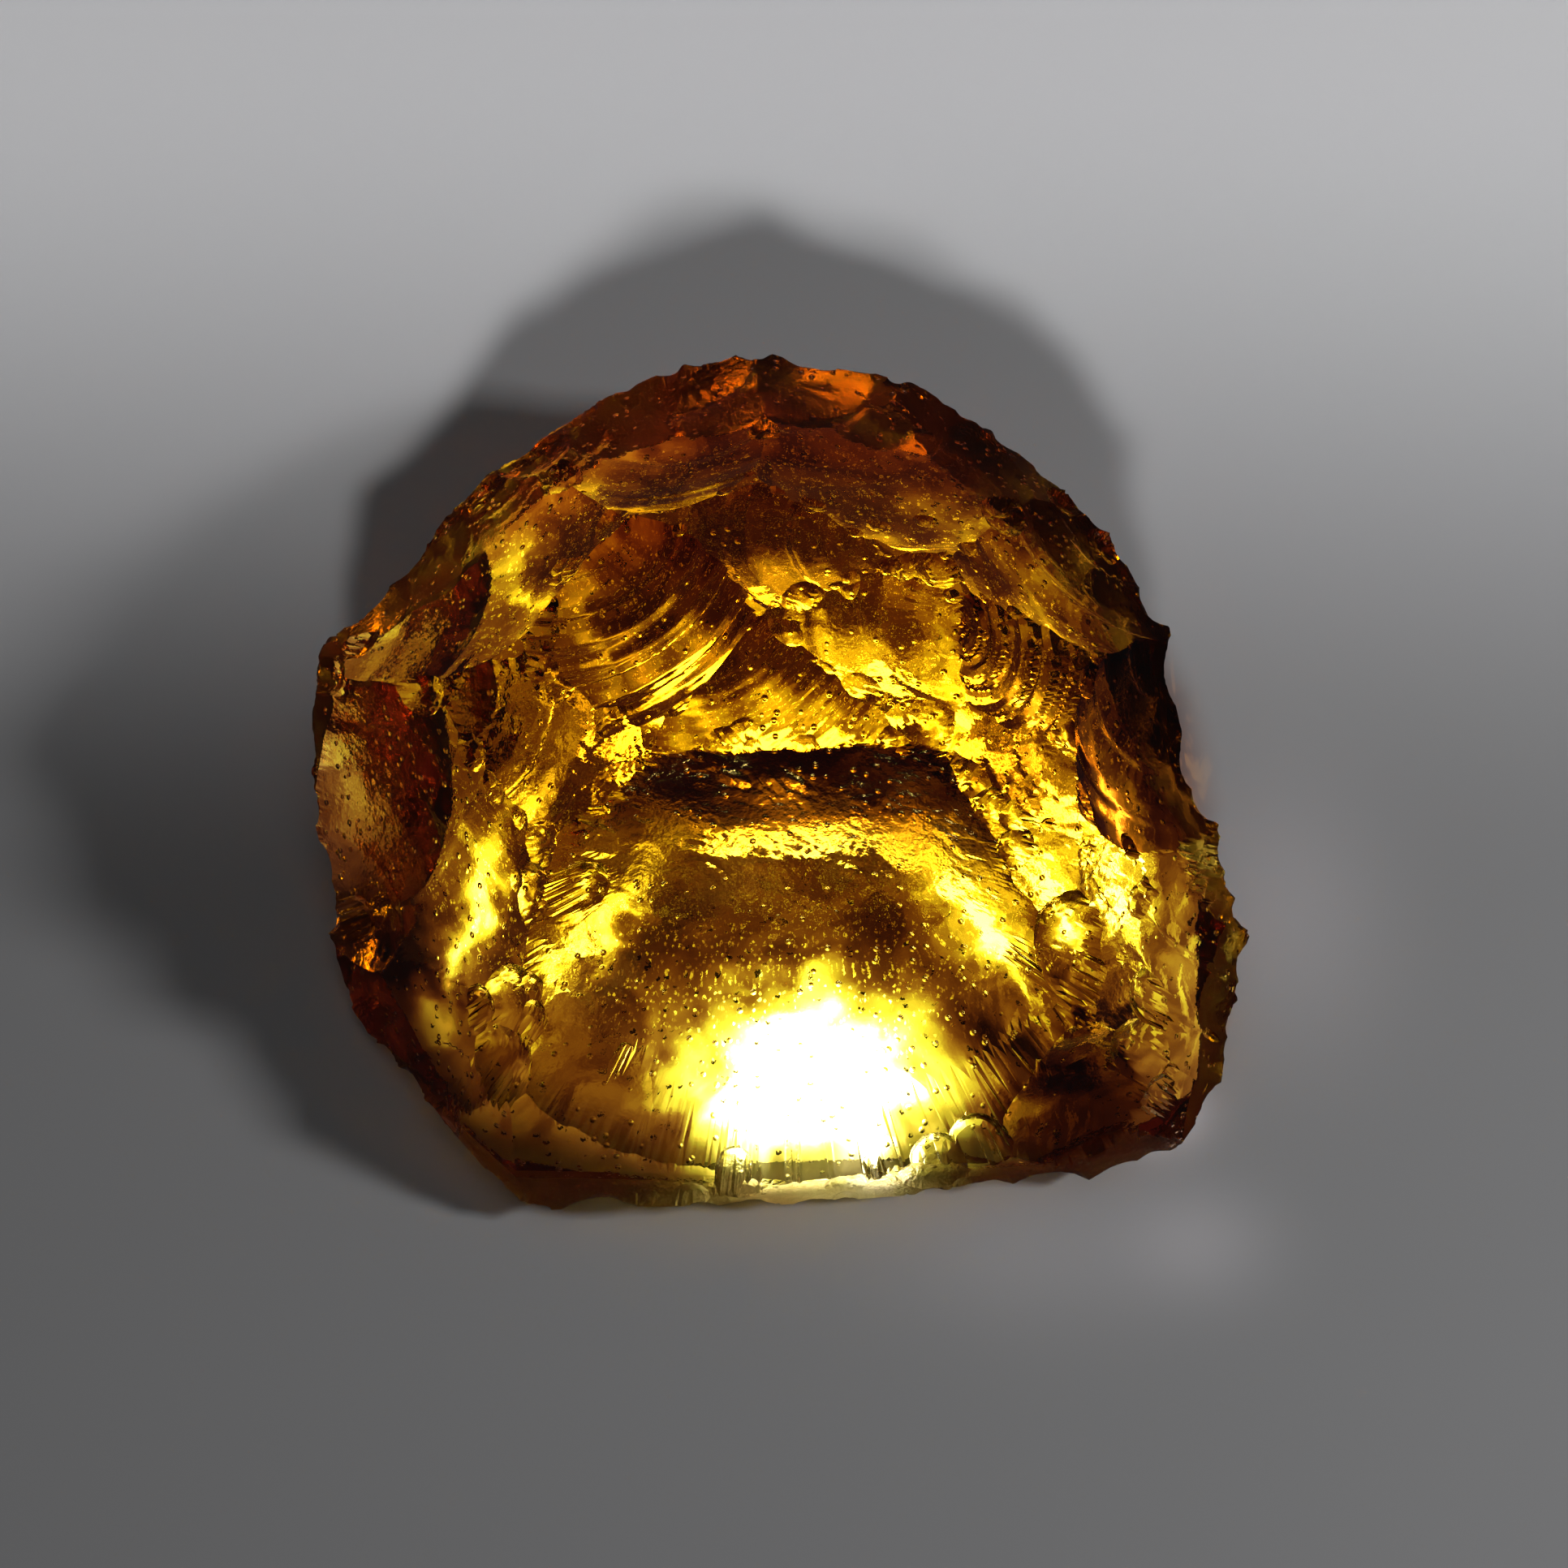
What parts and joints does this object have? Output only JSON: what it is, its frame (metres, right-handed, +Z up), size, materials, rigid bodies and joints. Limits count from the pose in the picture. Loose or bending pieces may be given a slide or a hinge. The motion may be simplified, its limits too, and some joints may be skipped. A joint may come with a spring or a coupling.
{
  "type": "rough topaz",
  "caption": "Broken lump of clear golden-brown topaz with shell-like fracture faces, sharp ridges and a flat cleavage face to rest on.",
  "frame": {"origin": "middle of the footprint's bounding box, on the surface that the stone rests on", "axes": "+X along the stone's length, +Y towards its domed back, +Z up from the flat cleavage face to the peak"},
  "size_m": [0.0362, 0.0334, 0.0156],
  "materials": {
    "topaz": "clear golden-brown crystal, glossy conchoidal fracture"
  },
  "bodies": {
    "root": {"topaz": "topaz"}
  },
  "joints": []
}
